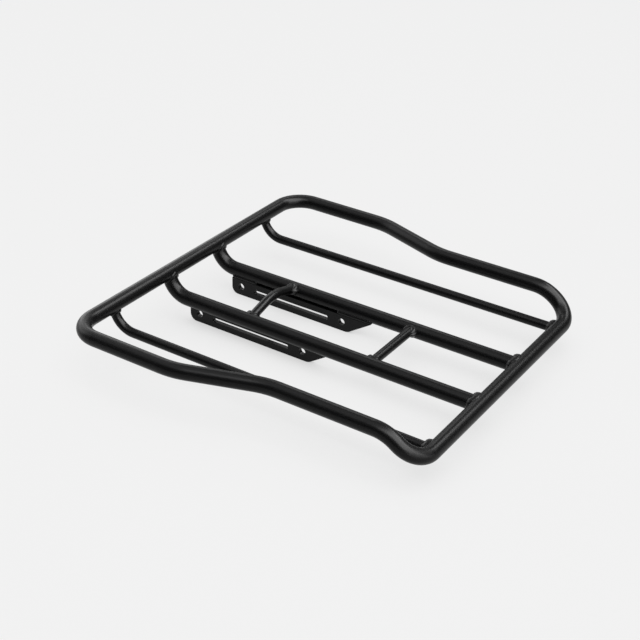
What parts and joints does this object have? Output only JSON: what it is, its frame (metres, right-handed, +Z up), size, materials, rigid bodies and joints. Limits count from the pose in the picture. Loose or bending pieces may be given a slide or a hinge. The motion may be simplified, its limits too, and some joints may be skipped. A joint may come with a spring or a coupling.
{
  "type": "front luggage rack",
  "caption": "Welded tubular front luggage rack: bent perimeter rail with one raised end, lengthwise slats, cross braces and slotted bolt-on plates below.",
  "frame": {"origin": "middle of the footprint, on the bottom edges of the two mounting plates", "axes": "+X from the raised end to the low end, +Y to the left side, +Z up"},
  "size_m": [0.395, 0.405, 0.059],
  "materials": {
    "black_powder_coat": "satin black powder coat"
  },
  "bodies": {
    "root": {"perimeter_loop": "black_powder_coat", "main_slat_left": "black_powder_coat", "main_slat_right": "black_powder_coat", "side_slat_left": "black_powder_coat", "side_slat_right": "black_powder_coat", "plate_left": "black_powder_coat", "plate_right": "black_powder_coat", "brace_arched": "black_powder_coat", "brace_straight": "black_powder_coat", "weld_main_high_left": "black_powder_coat", "weld_main_low_left": "black_powder_coat", "weld_side_high_left": "black_powder_coat", "weld_side_low_left": "black_powder_coat", "weld_plate_high_left": "black_powder_coat", "weld_plate_low_left": "black_powder_coat", "weld_brace_arched_left": "black_powder_coat", "weld_brace_straight_left": "black_powder_coat", "weld_main_high_right": "black_powder_coat", "weld_main_low_right": "black_powder_coat", "weld_side_high_right": "black_powder_coat", "weld_side_low_right": "black_powder_coat", "weld_plate_high_right": "black_powder_coat", "weld_plate_low_right": "black_powder_coat", "weld_brace_arched_right": "black_powder_coat", "weld_brace_straight_right": "black_powder_coat"}
  },
  "joints": []
}
